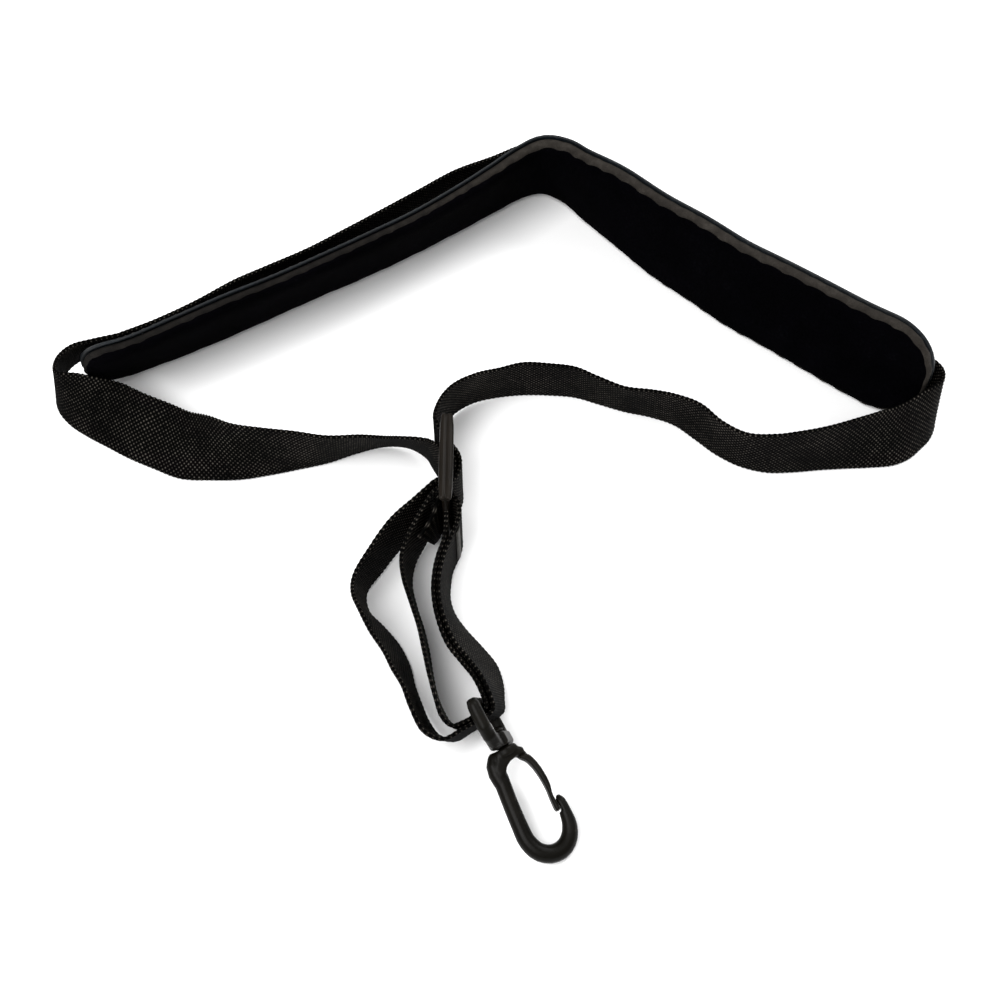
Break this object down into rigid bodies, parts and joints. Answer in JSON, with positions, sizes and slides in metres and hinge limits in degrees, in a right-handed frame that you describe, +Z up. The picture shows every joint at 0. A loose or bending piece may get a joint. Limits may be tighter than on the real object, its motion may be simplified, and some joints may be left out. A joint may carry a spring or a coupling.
{
  "type": "saxophone neck strap",
  "caption": "Padded instrument neck strap with flat webbing, a sliding adjuster and a swivelling snap hook with a sprung gate, laid open on a table.",
  "frame": {"origin": "centre of the part's bounding box on the table it lies on", "axes": "+X along the neck pad's longest extent, +Y from the hook towards the pad's fold, +Z up from the table, across the webbing"},
  "size_m": [0.3296, 0.2884, 0.0459],
  "materials": {
    "webbing": "woven",
    "velour": "plush",
    "foam": "open foam",
    "cover": "satin",
    "edge": "puckered binding",
    "thread": "twisted thread",
    "plastic": "moulded"
  },
  "bodies": {
    "neck_band": {"pad_velour_lining": "velour", "pad_foam_core": "foam", "pad_outer_cover": "cover", "pad_rolled_edge": "edge", "pad_perimeter_stitching": "thread", "webbing_pad_run": "webbing", "left_webbing": "webbing", "right_webbing": "webbing", "left_leg": "webbing", "right_leg": "webbing", "return_leg_inner": "webbing", "return_leg_outer": "webbing", "left_pad_bartack": "thread", "right_pad_bartack": "thread"},
    "slider_unit": {"slider": "plastic", "left_webbing_weave": "webbing", "right_webbing_weave": "webbing", "return_fold": "webbing", "fold_bartack": "thread"},
    "eye": {"swivel_eye": "plastic"},
    "hook": {"hook_body": "plastic"},
    "gate": {"hook_gate": "plastic"}
  },
  "joints": [
    {"name": "slider_slide", "type": "slide", "parent": "neck_band", "child": "slider_unit", "axis": [0, 1, 0], "range_m": [-0.012, 0.012], "deforming": ["left_webbing", "right_webbing", "left_leg", "right_leg", "return_leg_inner", "return_leg_outer"]},
    {"name": "eye_pivot", "type": "hinge", "parent": "neck_band", "child": "eye", "pos_m": [-0.00409, -0.09648, 0.0187], "axis": [-0.1365, -0.3815, 0.9142], "range_deg": [-20, 20]},
    {"name": "hook_swivel", "type": "hinge", "parent": "eye", "child": "hook", "pos_m": [0.00216, -0.1073, 0.01511], "axis": [0.4806, -0.8325, -0.2756], "continuous": true},
    {"name": "gate_flex", "type": "hinge", "parent": "hook", "child": "gate", "pos_m": [0.00959, -0.11178, 0.01294], "axis": [-0.1378, 0.2387, -0.9613], "range_deg": [0, 18], "stiffness_Nm_per_rad": 0.05}
  ]
}
